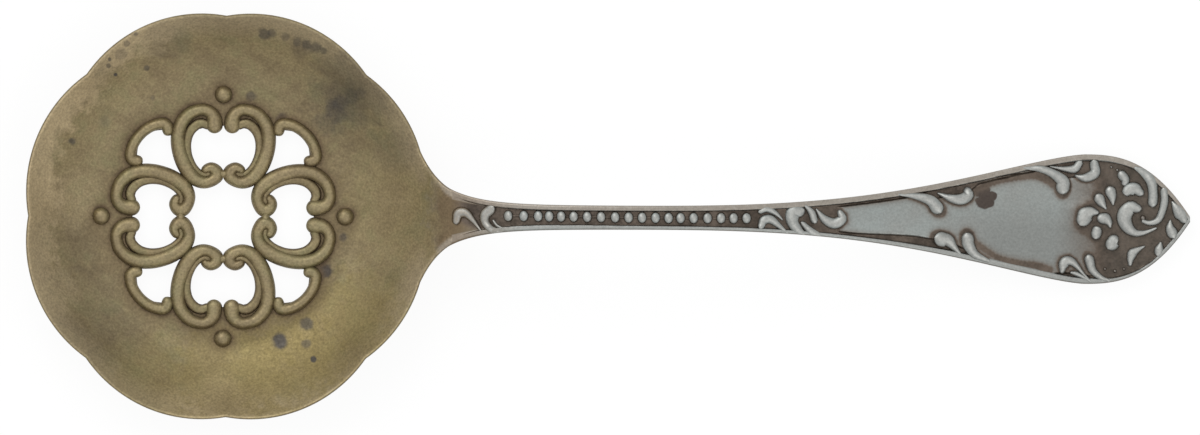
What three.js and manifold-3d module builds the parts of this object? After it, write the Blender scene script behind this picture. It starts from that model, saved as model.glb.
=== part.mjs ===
// Bonbon spoon: a shallow scalloped gilt bowl, pierced with a rosette of C-scrolls, on a
// silver-plated handle with a beaded stem, a smooth panel and leaf ornament.
// Millimetres, +Z up. The spoon lies as it does on a table: bowl base and handle tip at Z = 0,
// bowl at -X, handle tip at +X, origin under the middle of the whole length.

import * as THREE from 'three';
import { mergeVertices } from 'three/addons/utils/BufferGeometryUtils.js';
import Module from 'manifold-3d';

const wasm = await Module();
wasm.setup();

// Bowl: eight scallops round a dish with a flat base, a little broader across the handle than along it
const lobeCount = 8;
const lobeRadius = 14.1;
const lobeOffset = 6.4;
const sideBroadening = 0.287;
const bowlDepth = 5.2;
const baseRadius = 12.7;
const wall = 0.9;
const wallSteepness = 1.5;

// Rosette: scroll pairs on the axes, corner scrolls on the diagonals, pearls outside the pairs
const rosetteShift = -0.3;
const scrollReach = 10.7;
const scrollHalf = 0.64;
const scrollSwell = 0.14;
const scrollHeight = 0.9;
const curlHalf = 0.5;
const cornerHalf = 0.55;
const cornerWaist = 0.42;
const cornerRise = 0.95;
const cornerHook = 1;
const cornerHeight = 0.75;
const pearlRadius = 0.8;
const pearlHeight = 0.7;
const pearlStep = 1.5;
const windowInset = 0.55;
const windowWave = 1.1;
const pieceGap = 0.08;
const webMargin = 0.2;

// Neck: where the bowl narrows into the handle, measured from the bowl's centre
const jointAt = 22.3;
const neckHalf = 2.9;
const neckSlope = 0.5;
const neckFadeBowl = 2.5;
const neckFadeStem = 3.2;
const neckThickening = 0.8;

// Handle outline and side profile
const stemHalf = 1.2;
const stemLength = 17.1;
const taperLength = 46.5;
const taperEase = 3;
const taperFullness = 1.5;
const shoulderHalf = 6.48;
const tipLength = 10.5;
const tipHalf = 0.25;
const tipFullness = 2.6;
const archHeight = 10.6;
const stemThickness = 2;
const panelThickness = 1.5;
const tipRestLength = 6;
const backBevel = 0.4;

// Relief of the handle's face
const stemBorder = 0.28;
const panelBorder = 0.6;
const borderRound = 0.1;
const recessDepth = 0.35;
const recessStart = 0.1;
const recessRun = 3;
const recessDraft = 0.06;
const grooveWidth = 0.35;
const panelRise = 0.25;
const panelLead = 9.8;
const panelStop = 0.9;
const panelRamp = 2.4;
const beadCount = 19;
const beadRadius = 0.53;
const beadPitch = 1.325;
const beadLead = 5.94;
const beadLink = 0.12;
const leafHeight = 0.4;
const solderGap = 0.05;

const gilt = { color: 0x8a7a55, roughness: 0.45, metalness: 0.9 };
const silver = { color: 0x9a9d99, roughness: 0.38, metalness: 0.9 };

// Places along the spoon that follow from those sizes
const narrowAt = jointAt + stemLength;
const shoulderAt = narrowAt + taperLength;
const tipAt = shoulderAt + tipLength;
const firstBeadAt = jointAt + beadLead;
const lastBeadAt = firstBeadAt + (beadCount - 1) * beadPitch;
const panelStartAt = lastBeadAt + panelLead;
const panelEndAt = shoulderAt - panelStop;
const lobeStep = (2 * Math.PI) / lobeCount;
const lobeCrest = lobeOffset + lobeRadius;
const bowlStretch = 1 + sideBroadening / lobeCrest;

const clamp01 = (value) => THREE.MathUtils.clamp(value, 0, 1);
const lerp = THREE.MathUtils.lerp;
const smooth = THREE.MathUtils.smoothstep;

// The bowl is drawn round and then stretched across: a ray's angle before, and how far it reaches after.
const roundAngle = (angle) => Math.atan2(Math.sin(angle) / bowlStretch, Math.cos(angle));
const stretchedAngle = (angle) => Math.atan2(bowlStretch * Math.sin(angle), Math.cos(angle));
const stretchedReach = (angle) => Math.hypot(Math.cos(angle), bowlStretch * Math.sin(angle));

// Radius of the scalloped rim along a ray: the far side of the nearest scallop's circle.
function lobeRim(angle) {
  const round = roundAngle(angle);
  const turn = ((round % lobeStep) + lobeStep) % lobeStep;
  const off = turn - lobeStep / 2;
  const reach = lobeOffset * Math.cos(off) + Math.sqrt(lobeRadius ** 2 - (lobeOffset * Math.sin(off)) ** 2);
  return reach * stretchedReach(round);
}

// Half the handle's width: a neck that fades out, a taper that swells to the shoulder, a pointed arch.
function handleHalf(at) {
  if (at > shoulderAt) {
    const share = clamp01((at - shoulderAt) / tipLength);
    return tipHalf + (shoulderHalf - tipHalf) * (1 - share ** tipFullness);
  }
  const fade = at < jointAt ? neckFadeBowl : neckFadeStem;
  const neck = (neckHalf - stemHalf) * Math.exp((jointAt - at) / fade);
  const share = clamp01((at - narrowAt) / taperLength);
  return stemHalf + neck + (shoulderHalf - stemHalf) * (1 - (1 - share ** taperEase) ** taperFullness);
}

// Distance along a ray from the bowl's centre to the neck's flared edge or its end face.
function neckRim(angle) {
  let inside = 0;
  let outside = jointAt / Math.max(Math.cos(angle), 1e-6);
  const clear = (r) => Math.abs(r * Math.sin(angle)) > handleHalf(r * Math.cos(angle));
  if (!clear(outside)) return outside;
  for (let halving = 0; halving < 40; halving += 1) {
    const middle = (inside + outside) / 2;
    if (clear(middle)) outside = middle;
    else inside = middle;
  }
  return inside;
}

const facesNeck = (angle) => Math.abs(roundAngle(angle)) < lobeStep / 2;
const bowlRim = (angle) => (facesNeck(angle) ? Math.max(neckRim(angle), lobeRim(angle)) : lobeRim(angle));
const crestRim = (angle) => lobeCrest * stretchedReach(roundAngle(angle));
const dishRim = (angle) => (facesNeck(angle) ? crestRim(angle) : lobeRim(angle));

// Height of the bowl's underside: flat base, wall that steepens to the rim, then the neck's easing rise.
function dishRise(r, angle) {
  const rim = dishRim(angle);
  const run = rim - baseRadius;
  if (r <= rim) return bowlDepth * clamp01((r - baseRadius) / run) ** wallSteepness;
  const rimSlope = (wallSteepness * bowlDepth) / run;
  const beyond = r - rim;
  return bowlDepth + rimSlope * beyond - ((rimSlope - neckSlope) * beyond ** 2) / (2 * (jointAt - rim));
}

// Cubic between two heights with a slope at each end.
function hermite(x0, z0, slope0, x1, z1, slope1, x) {
  const run = x1 - x0;
  const t = (x - x0) / run;
  const rise = t * t * (3 - 2 * t);
  return z0 + (z1 - z0) * rise + run * t * (1 - t) * ((1 - t) * slope0 - t * slope1);
}

// Top of the handle's border: up from the bowl, over the arch, down to lie flat at the tip.
const neckTop = wall + dishRise(jointAt, 0);
const tipRestAt = tipAt - tipRestLength;
function handleTop(at) {
  if (at < narrowAt) return hermite(jointAt, neckTop, neckSlope, narrowAt, archHeight, 0, at);
  return hermite(narrowAt, archHeight, 0, tipRestAt, panelThickness, 0, Math.min(at, tipRestAt));
}

function handleThickness(at) {
  const stem = lerp(wall + neckThickening, stemThickness, smooth(at, jointAt, narrowAt));
  return lerp(stem, panelThickness, smooth(at, narrowAt, tipRestAt));
}

const borderWidth = (at) => lerp(stemBorder, panelBorder, smooth(at, narrowAt, shoulderAt));
const groundHalf = (at) => handleHalf(at) - borderWidth(at) - recessDraft;
const recess = (at) => lerp(recessStart, recessDepth, smooth(at, jointAt, jointAt + recessRun));
const groundLevel = (at) => handleTop(at) - recess(at);

function panelStep(at) {
  const up = clamp01((at - panelStartAt) / panelRamp);
  const down = clamp01((panelEndAt - at) / panelRamp);
  return panelRise * Math.min(up, down);
}
const faceLevel = (at) => groundLevel(at) + panelStep(at);

function bufferGeometry(points, triangles) {
  const geometry = new THREE.BufferGeometry();
  geometry.setAttribute('position', new THREE.Float32BufferAttribute(points.flat(), 3));
  geometry.setIndex(triangles.flat());
  geometry.computeVertexNormals();
  return geometry;
}

// Closed body through rings of equal count, each counter-clockwise about the way they follow.
// The two end contours are the first and last ring drawn flat, for the caps.
function loft(rings, firstContour, lastContour) {
  const count = rings[0].length;
  const triangles = [];
  for (let ring = 0; ring < rings.length - 1; ring += 1) {
    for (let side = 0; side < count; side += 1) {
      const a = ring * count + side;
      const b = ring * count + ((side + 1) % count);
      triangles.push([a, b, b + count], [a, b + count, a + count]);
    }
  }
  const flat = (contour) => contour.map(([across, up]) => new THREE.Vector2(across, up));
  const last = (rings.length - 1) * count;
  const cap = (contour) => THREE.ShapeUtils.triangulateShape(flat(contour), []);
  for (const [a, b, c] of cap(firstContour)) triangles.push([c, b, a]);
  for (const [a, b, c] of cap(lastContour)) triangles.push([last + a, last + b, last + c]);
  return bufferGeometry(rings.flat(), triangles);
}

const domeSection = [[-1, 0], [1, 0], [0.75, 0.66], [0, 1], [-0.75, 0.66]];
const plateSection = [[-1, 0], [1, 0], [1, 1], [-1, 1]];

// A strip of relief carried along a plan curve: section in shares of the local half width and height,
// its foot on the seat. Sections and widths are functions of the share of the way along the curve.
function relief({ curve, stations, half, height, section, seat }) {
  const contours = [];
  const rings = stations.map((t) => {
    const spot = curve.getPointAt(t);
    const ahead = curve.getTangentAt(t);
    const contour = section(t).map(([across, up]) => [across * half(t), up * height(t)]);
    contours.push(contour);
    return contour.map(([across, up]) => {
      const x = spot.x - ahead.y * across;
      const y = spot.y + ahead.x * across;
      return [x, y, seat(x, y) + up];
    });
  });
  return loft(rings, contours[0], contours[contours.length - 1]);
}

const evenSteps = (count) => Array.from({ length: count + 1 }, (_, step) => step / count);
const denseEnds = (count) => evenSteps(count).map((t) => (1 - Math.cos(Math.PI * t)) / 2);
const denseHead = (count) => evenSteps(count).map((t) => Math.sin((Math.PI / 2) * t));

// Rounds a strip's end: a quarter circle over the last stretch, never quite to nothing.
const bluntShare = 0.25;
const roundEnd = (fromEnd, stretch) => {
  const share = clamp01(fromEnd / stretch);
  return Math.max(bluntShare, Math.sqrt(1 - (1 - share) ** 2));
};

function toSolid(geometry) {
  const bare = geometry.clone();
  bare.deleteAttribute('normal');
  bare.deleteAttribute('uv');
  const merged = mergeVertices(bare, 1e-5);
  const vertProperties = new Float32Array(merged.attributes.position.array);
  const triVerts = new Uint32Array(merged.index.array);
  return new wasm.Manifold(new wasm.Mesh({ numProp: 3, vertProperties, triVerts }));
}

function fromSolid(solid) {
  const mesh = solid.getMesh();
  const geometry = new THREE.BufferGeometry();
  geometry.setAttribute('position', new THREE.BufferAttribute(new Float32Array(mesh.vertProperties), 3));
  geometry.setIndex(new THREE.BufferAttribute(new Uint32Array(mesh.triVerts), 1));
  geometry.computeVertexNormals();
  return geometry;
}

function mesh(name, geometry, finish) {
  const piece = new THREE.Mesh(geometry, new THREE.MeshStandardMaterial(finish));
  piece.name = name;
  return piece;
}

// Rosette curves, in the plan of one eighth: y runs out along the pair's axis, and x is placed
// between the axis (share 0) and the diagonal (share 1), each a half width and a gap away. The curl at
// the inner end is slimmer, and so it comes nearer to the axis.
const bodyShape = [[0, 0.81], [0, 0.94], [0.15, 1], [0.39, 0.905], [0.67, 0.681], [0.89, 0.48], [1, 0.35]];
const curlShape = [[0.45, 0.32], [0, 0.385], [0.15, 0.45]];
const scrollPoint = (share, out, axisHalf) => {
  const y = out * scrollReach;
  const fromDiagonal = Math.SQRT2 * (scrollHalf + pieceGap);
  return new THREE.Vector2(lerp(axisHalf + pieceGap, y - fromDiagonal, share), y);
};
const scrollPoints = [
  ...bodyShape.map(([share, out]) => scrollPoint(share, out, scrollHalf)),
  ...curlShape.map(([share, out]) => scrollPoint(share, out, curlHalf)),
];

// The corner scroll springs clear of the big scroll's outer side and crosses the diagonal.
const springShare = 0.45;
function cornerPoints() {
  const big = new THREE.SplineCurve(scrollPoints);
  const foot = big.getPointAt(springShare);
  const ahead = big.getTangentAt(springShare);
  const away = scrollHalf + scrollSwell + cornerHalf + pieceGap;
  const end = new THREE.Vector2(foot.x - ahead.y * away, foot.y + ahead.x * away);
  const outward = new THREE.Vector2(Math.SQRT1_2, Math.SQRT1_2);
  const hook = end.clone().addScaledVector(outward, cornerHook);
  const crest = outward.clone().multiplyScalar(scrollReach + cornerRise);
  const mirror = (point) => new THREE.Vector2(point.y, point.x);
  return [end, hook, crest, mirror(hook), mirror(end)];
}

const quarterTurn = Math.PI / 2;
const origin = new THREE.Vector2(0, 0);
const turned = (points, quarter) => points.map((p) => p.clone().rotateAround(origin, quarter * quarterTurn));
const mirrored = (points) => points.map((p) => new THREE.Vector2(-p.x, p.y));

const scrollRoundShare = 0.05;
const curlBeginShare = 0.62;
const curlShare = 0.78;
function scrollWidth(t) {
  const body = scrollHalf + scrollSwell * Math.sin(Math.PI * clamp01(t / curlShare)) ** 2;
  const tapered = lerp(body, curlHalf, smooth(t, curlBeginShare, curlShare));
  return tapered * roundEnd(t, scrollRoundShare) * roundEnd(1 - t, scrollRoundShare);
}

// Domed section with a second, lower ridge along the hollow of the C, parted by a groove.
const grooveStartShares = [0.08, 0.25];
const grooveEndShares = [0.6, 0.75];
const ridgeTop = [[0.92, 0], [0.64, 0.12], [0.44, 0.5], [0.1, 0], [-0.35, 0], [-0.82, 0]];
function scrollSection(t, inner) {
  const groove = smooth(t, ...grooveStartShares) * (1 - smooth(t, ...grooveEndShares));
  const dome = (across) => Math.sqrt(1 - across ** 2);
  const top = ridgeTop.map(([across, cut]) => [across * inner, dome(across) * (1 - cut * groove)]);
  return [[-1, 0], [1, 0], ...(inner > 0 ? top : top.reverse())];
}

// Corner scroll: slim across the diagonal, swelling to its full half width in the two hooked ends.
const cornerRoundShare = 0.09;
function cornerWidth(t) {
  const body = lerp(cornerHalf, cornerWaist, Math.sin(Math.PI * t));
  return body * roundEnd(t, cornerRoundShare) * roundEnd(1 - t, cornerRoundShare);
}
const bowlSeat = (x, y) => wall + dishRise(Math.hypot(x + rosetteShift, y), Math.atan2(y, x + rosetteShift));

const scrollSteps = 22;
const cornerSteps = 14;
const rosetteStrips = [];
for (let quarter = 0; quarter < 4; quarter += 1) {
  for (const inner of [-1, 1]) {
    const points = turned(inner > 0 ? mirrored(scrollPoints) : scrollPoints, quarter);
    rosetteStrips.push({
      name: `rosette_scroll_${2 * quarter + (inner > 0 ? 2 : 1)}`,
      curve: new THREE.SplineCurve(points),
      stations: denseEnds(scrollSteps),
      half: scrollWidth,
      height: (t) => scrollHeight * roundEnd(t, scrollRoundShare) ** 0.5,
      section: (t) => scrollSection(t, inner),
    });
  }
  rosetteStrips.push({
    name: `corner_scroll_${quarter + 1}`,
    curve: new THREE.SplineCurve(turned(cornerPoints(), quarter)),
    stations: denseEnds(cornerSteps),
    half: cornerWidth,
    height: () => cornerHeight,
    section: () => domeSection,
  });
}

// Pierced bowl: the whole dish, less the window of the rosette wherever no scroll crosses it.
const stepsPerLobe = 15;
const ringShares = [0, 0.09, 0.28, 0.5, 0.76, 1];
function dish() {
  const corner = Math.atan2(handleHalf(jointAt), jointAt);
  const rimAngles = evenSteps(lobeCount * stepsPerLobe).slice(1).map((share) => {
    return stretchedAngle((2 * share - 1) * Math.PI);
  });
  const angles = [...rimAngles, corner, -corner].sort((a, b) => a - b);
  const points = [];
  const triangles = [];
  const face = (lift, thicken) => {
    const centre = points.length;
    points.push([0, 0, lift]);
    for (const share of ringShares) {
      for (const angle of angles) {
        const r = lerp(baseRadius, bowlRim(angle), share);
        const x = r * Math.cos(angle);
        const sideways = Math.abs(Math.atan2(Math.sin(angle), Math.cos(angle)));
        const towardNeck = 1 - smooth(sideways, corner, lobeStep / 2);
        const extra = thicken * towardNeck * smooth(x, lobeCrest - neckHalf, jointAt);
        points.push([x, r * Math.sin(angle), lift + dishRise(r, angle) - extra]);
      }
    }
    return centre;
  };
  const top = face(wall, 0);
  const bottom = face(0, neckThickening);
  const count = angles.length;
  const at = (centre, ring, step) => centre + 1 + ring * count + (step % count);
  const rim = ringShares.length - 1;
  for (let step = 0; step < count; step += 1) {
    triangles.push([top, at(top, 0, step), at(top, 0, step + 1)]);
    triangles.push([bottom, at(bottom, 0, step + 1), at(bottom, 0, step)]);
    for (let ring = 0; ring < rim; ring += 1) {
      const quad = (centre) => [
        at(centre, ring, step), at(centre, ring + 1, step),
        at(centre, ring + 1, step + 1), at(centre, ring, step + 1),
      ];
      const [a, b, c, d] = quad(top);
      triangles.push([a, b, c], [a, c, d]);
      const [e, f, g, h] = quad(bottom);
      triangles.push([e, g, f], [e, h, g]);
    }
    const [low, lowNext] = [at(bottom, rim, step), at(bottom, rim, step + 1)];
    const [high, highNext] = [at(top, rim, step), at(top, rim, step + 1)];
    triangles.push([low, lowNext, highNext], [low, highNext, high]);
  }
  return bufferGeometry(points, triangles);
}

const cutBelow = -2;
const cutHeight = wall + bowlDepth - cutBelow;
const webOvershoot = 1;
const windowSteps = 96;
function piercings() {
  const outline = evenSteps(windowSteps).slice(0, -1).map((share) => {
    const angle = share * 2 * Math.PI;
    const r = scrollReach - windowInset - windowWave * Math.cos(4 * angle);
    return new THREE.Vector2(r * Math.cos(angle), r * Math.sin(angle));
  });
  const upright = { depth: cutHeight, bevelEnabled: false };
  const window = new THREE.ExtrudeGeometry(new THREE.Shape(outline), upright);
  window.translate(0, 0, cutBelow);
  const webs = rosetteStrips.map((strip) => toSolid(relief({
    ...strip,
    half: (t) => strip.half(t) + webMargin,
    height: () => cutHeight + 2 * webOvershoot,
    section: () => plateSection,
    seat: () => cutBelow - webOvershoot,
  })));
  return webs.reduce((left, web) => left.subtract(web), toSolid(window)).translate([rosetteShift, 0, 0]);
}

const bowl = new THREE.Group();
bowl.add(mesh('pierced_bowl', fromSolid(toSolid(dish()).subtract(piercings())), gilt));

const rosette = new THREE.Group();
rosette.position.x = rosetteShift;
for (const strip of rosetteStrips) {
  const seat = (x, y) => bowlSeat(x, y) + solderGap;
  rosette.add(mesh(strip.name, relief({ ...strip, seat }), gilt));
}

// Pearl: a low dome on the bowl, its flat foot level with the highest bowl metal under it.
const pearlAt = scrollReach + pearlStep;
const pearlSteps = 5;
const pearlSides = 14;
const pearlProfile = [
  new THREE.Vector2(0, 0),
  ...evenSteps(pearlSteps).map((share) => new THREE.Vector2(
    share < 1 ? pearlRadius * Math.cos(share * quarterTurn) : 0,
    pearlHeight * Math.sin(share * quarterTurn),
  )),
];
for (let quarter = 0; quarter < 4; quarter += 1) {
  const outward = turned([new THREE.Vector2(0, 1)], quarter)[0];
  const rim = outward.clone().multiplyScalar(pearlAt + pearlRadius);
  const dome = new THREE.LatheGeometry(pearlProfile, pearlSides).rotateX(quarterTurn);
  const pearl = mesh(`rosette_pearl_${quarter + 1}`, dome, gilt);
  pearl.position.set(outward.x * pearlAt, outward.y * pearlAt, bowlSeat(rim.x, rim.y) + solderGap);
  rosette.add(pearl);
}
bowl.add(rosette);

// Handle blank: bevelled back, raised border, sunk ground, and the panel raised between its grooves.
function handleSection(at) {
  const half = handleHalf(at);
  const border = borderWidth(at);
  const need = border + 2 * recessDraft + grooveWidth + recessDraft;
  const squeeze = Math.min(1, half / need);
  const edge = (inset) => half - inset * squeeze;
  const top = handleTop(at);
  const back = top - handleThickness(at);
  const ground = groundLevel(at);
  const right = [
    [edge(backBevel), back],
    [half, back + backBevel],
    [half, top - borderRound],
    [edge(borderRound), top],
    [edge(border), top],
    [edge(border + recessDraft), ground],
    [edge(border + recessDraft + grooveWidth), ground],
    [edge(border + 2 * recessDraft + grooveWidth), faceLevel(at)],
  ];
  const left = right.map(([y, z]) => [-y, z]).reverse();
  return [left[left.length - 1], ...right, ...left.slice(0, -1)];
}

const taperSteps = 40;
const tipSteps = 11;
const handleStations = [
  ...evenSteps(taperSteps).map((share) => lerp(jointAt, shoulderAt, share)),
  ...denseHead(tipSteps).slice(1).map((share) => lerp(shoulderAt, tipAt, share)),
  panelStartAt, panelStartAt + panelRamp, panelEndAt - panelRamp, panelEndAt, tipRestAt,
].sort((a, b) => a - b).filter((at, i, all) => i === 0 || at - all[i - 1] > 1e-3);

const handleRings = handleStations.map((at) => handleSection(at).map(([y, z]) => [at, y, z]));
const handle = new THREE.Group();
handle.add(mesh('handle_blank', loft(handleRings, handleSection(jointAt), handleSection(tipAt)), silver));

// Beaded wire: half-round beads on a thin link, laid along the stem's channel.
const beadSlices = [-0.98, -0.8, -0.42, 0, 0.42, 0.8, 0.98];
const wireLength = lastBeadAt - firstBeadAt + 2 * beadRadius;
const wireStart = firstBeadAt - beadRadius;
const beadStations = [];
for (let bead = 0; bead < beadCount; bead += 1) {
  for (const slice of beadSlices) {
    beadStations.push((beadRadius + bead * beadPitch + slice * beadRadius) / wireLength);
  }
}
function beadHalf(t) {
  const along = t * wireLength - beadRadius;
  const nearest = Math.round(along / beadPitch) * beadPitch;
  return Math.max(beadLink, Math.sqrt(Math.max(0, beadRadius ** 2 - (along - nearest) ** 2)));
}
handle.add(mesh('beaded_wire', relief({
  curve: new THREE.LineCurve(new THREE.Vector2(wireStart, 0), new THREE.Vector2(wireStart + wireLength, 0)),
  stations: beadStations,
  half: beadHalf,
  height: beadHalf,
  section: () => domeSection,
  seat: (x) => groundLevel(x) + solderGap,
}), silver));

// Leaf ornament: each leaf runs from its thin tail to its round head. Points are millimetres along
// the handle from the zone's own mark, and shares of the room between the borders across it.
const leafZones = [
  { mark: jointAt, leaves: [
    ['neck_leaf', 0.36, [[3.1, -0.85], [2.1, 0.09], [1.2, 0.41], [0.6, -0.15]]],
    ['neck_scroll', 0.37, [[4.7, -0.95], [3.85, -0.8], [3.5, 0.05], [4.1, 0.77]]],
    ['neck_scroll_leaf', 0.15, [[5.3, -0.45], [4.85, -0.2], [4.6, 0.3]]],
  ] },
  { mark: lastBeadAt, leaves: [
    ['collar_leaf_upper', 0.26, [[3.3, 0.2], [2.6, 0.75], [1.9, 0.95], [1.2, 0.7]]],
    ['collar_leaf_lower', 0.34, [[3.5, -0.95], [2.8, -0.6], [2, -0.2], [1.3, -0.85]]],
    ['collar_scroll', 0.48, [[5.3, -1], [4.45, -0.85], [4.2, 0.3], [5, 1]]],
    ['collar_sprig', 0.31, [[5.85, 1], [6.2, 0.6], [6.3, 0]]],
    ['collar_scroll_tail', 0.25, [[6.5, -0.98], [5.9, -0.8], [5.3, -0.1]]],
    ['collar_comma_leaf', 0.46, [[7, 0.9], [7.8, -0.5], [8.9, -0.74], [9.35, 0.42]]],
  ] },
  { mark: shoulderAt, leaves: [
    ['panel_leaf_upper_1', 0.52, [[-18.5, 1], [-16.6, 0.98], [-15.4, 0.69], [-14.95, 0.33]]],
    ['panel_leaf_upper_2', 0.47, [[-14.2, 0.97], [-13.2, 0.67], [-12.3, 0.68], [-11.9, 0.92]]],
    ['panel_leaf_lower_1', 0.54, [[-12.6, -1], [-13.2, -0.93], [-14.1, -0.76], [-14.7, -0.96]]],
    ['panel_leaf_lower_2', 0.52, [[-9.7, -1], [-10.8, -0.98], [-11.6, -0.84], [-11.7, -0.58]]],
    ['shoulder_scroll_upper', 0.6, [[-5.4, 1], [-3.7, 0.98], [-2.5, 0.84], [-2.2, 0.62]]],
    ['shoulder_leaf_upper_1', 0.32, [[-1.7, 0.98], [-1, 0.9], [-0.5, 0.98]]],
    ['shoulder_leaf_upper_2', 0.42, [[-0.8, 0.72], [0.3, 0.68], [1.1, 0.82], [0.95, 0.98]]],
    ['shoulder_leaf_lower_1', 0.62, [[0, -1], [-0.8, -0.93], [-1.5, -0.86], [-2.2, -0.84]]],
    ['shoulder_leaf_lower_2', 0.55, [[2.5, -1], [1.5, -0.99], [0.6, -0.84], [0.4, -0.66]]],
    ['shoulder_sprig_lower', 0.22, [[-1, -1], [-1.8, -0.99], [-2.8, -1]]],
  ] },
  { mark: tipAt, leaves: [
    ['tip_petal_1', 0.38, [[-6.6, 0.7], [-6.3, 0.82], [-6.8, 0.95]]],
    ['tip_petal_2', 0.5, [[-7.65, 0.26], [-7.7, 0.46], [-7.95, 0.6]]],
    ['tip_petal_3', 0.47, [[-8.45, 0.2], [-8.9, 0.32], [-9.35, 0.44]]],
    ['tip_petal_4', 0.7, [[-9.3, 0.1], [-10, 0.12], [-10.6, -0.04]]],
    ['tip_petal_5', 0.5, [[-7.7, -0.22], [-8.2, -0.08], [-8.75, -0.04]]],
    ['tip_petal_6', 0.47, [[-9.2, -0.18], [-9.35, -0.3], [-9.4, -0.43]]],
    ['tip_petal_7', 0.58, [[-7.1, -0.5], [-7.7, -0.45], [-8.15, -0.56]]],
    ['tip_crescent', 0.52, [[-6.7, 0.47], [-6, 0.66], [-5.1, 0.63]]],
    ['tip_scroll', 0.64, [[-4.3, -0.44], [-5.6, -0.42], [-6.75, -0.02], [-6, 0.28], [-5.2, 0.27]]],
    ['tip_scroll_stem', 0.36, [[-4.9, -0.1], [-3.4, -0.13], [-2.6, 0.5], [-2.65, 0.92]]],
    ['tip_long_leaf', 0.42, [[-4.8, 0.98], [-3.95, 0.92], [-3.75, 0.66], [-3.8, 0.35]]],
    ['tip_edge_leaf_1', 0.34, [[-1.75, 0.85], [-1.35, 0.5], [-1, 0.1]]],
    ['tip_edge_leaf_2', 0.44, [[-1.9, -0.05], [-2.05, -0.5], [-1.75, -0.95]]],
    ['tip_edge_leaf_3', 0.38, [[-2.7, -0.72], [-3, -0.88], [-3.1, -1]]],
    ['tip_hook_leaf', 0.36, [[-4.6, -0.72], [-5.4, -0.73], [-5.8, -0.84], [-5.9, -0.97]]],
  ] },
];

const leafSteps = 8;
const tailShare = 0.25;
const headShare = 0.5;
for (const { mark, leaves } of leafZones) {
  for (const [name, headHalf, course] of leaves) {
    const widening = (t) => headHalf * lerp(tailShare, 1, Math.sin(quarterTurn * t));
    const points = course.map(([along, share], point) => {
      const room = groundHalf(mark + along) - widening(point / (course.length - 1)) - pieceGap;
      return new THREE.Vector2(mark + along, share * room);
    });
    const curve = new THREE.SplineCurve(points);
    const head = headHalf / curve.getLength();
    const half = (t) => widening(t) * roundEnd(1 - t, head);
    handle.add(mesh(name, relief({
      curve,
      stations: denseHead(leafSteps),
      half,
      height: (t) => leafHeight * lerp(headShare, 1, roundEnd(1 - t, head)),
      section: () => domeSection,
      seat: (x) => faceLevel(x) + solderGap,
    }), silver));
  }
}

const rimSteps = 720;
const behind = (share) => -lobeRim(share * Math.PI) * Math.cos(share * Math.PI);
const bowlReach = Math.max(...evenSteps(rimSteps).map(behind));
const spoon = new THREE.Group();
spoon.add(bowl, handle);
spoon.position.x = (bowlReach - tipAt) / 2;

export default spoon;
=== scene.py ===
import bpy
import numpy as np
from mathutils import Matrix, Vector


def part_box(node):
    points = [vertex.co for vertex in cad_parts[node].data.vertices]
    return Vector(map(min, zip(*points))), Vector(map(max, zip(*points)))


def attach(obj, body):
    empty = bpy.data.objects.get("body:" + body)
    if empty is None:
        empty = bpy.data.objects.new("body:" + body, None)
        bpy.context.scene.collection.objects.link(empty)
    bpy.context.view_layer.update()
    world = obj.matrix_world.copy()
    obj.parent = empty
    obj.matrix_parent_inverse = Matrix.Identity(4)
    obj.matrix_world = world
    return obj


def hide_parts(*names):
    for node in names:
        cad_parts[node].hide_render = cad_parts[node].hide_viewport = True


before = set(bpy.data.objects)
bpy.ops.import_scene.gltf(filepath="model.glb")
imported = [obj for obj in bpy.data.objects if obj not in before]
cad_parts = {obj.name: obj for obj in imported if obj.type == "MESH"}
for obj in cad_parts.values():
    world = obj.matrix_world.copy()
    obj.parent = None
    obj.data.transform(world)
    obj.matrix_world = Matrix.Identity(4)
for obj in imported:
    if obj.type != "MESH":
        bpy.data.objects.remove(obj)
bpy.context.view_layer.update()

# Bowl: a shallow round dish with eight scallops, struck from sheet, gilded and long since tarnished.
# Its floor is cut away under the rosette, and its neck runs into the handle, where it is soldered.
MM = 0.001
LOBES = 8
LOBE_RADIUS = 14.1
LOBE_OFFSET = 6.4
SIDE_BROADENING = 0.287
BOWL_DEPTH = 5.2
BASE_RADIUS = 12.7
WALL = 0.9
RIM_ROUND = 0.3
STEEPNESS = 1.5
LOBE_STEP = 2 * np.pi / LOBES
LOBE_CREST = LOBE_OFFSET + LOBE_RADIUS
STRETCH = 1 + SIDE_BROADENING / LOBE_CREST
BOWL_REACH = LOBE_OFFSET * np.cos(LOBE_STEP / 2) + LOBE_RADIUS
BOWL_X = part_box("pierced_bowl")[0][0] / MM + BOWL_REACH

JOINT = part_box("handle_blank")[0][0] / MM - BOWL_X
NECK_HALF = 2.9
NECK_SLOPE = 0.5
NECK_THICKENING = 0.8
NECK_LAP = 0.6
NECK_FADE = 3.2
NECK_FADE_BOWL = 2.5
NECK_SEARCH = 1.2
STEM_HALF = 1.2
STEM_LENGTH = 17.1
TAPER_LENGTH = 46.5
TAPER_SWELL = 3
TAPER_EASE = 1.5
SHOULDER_HALF = 6.48
TIP_LENGTH = 10.5
TIP_HALF = 0.25
TIP_FULLNESS = 2.6
NARROW = JOINT + STEM_LENGTH
SHOULDER = NARROW + TAPER_LENGTH
TIP = SHOULDER + TIP_LENGTH
CREASE = np.radians(50)


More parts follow.
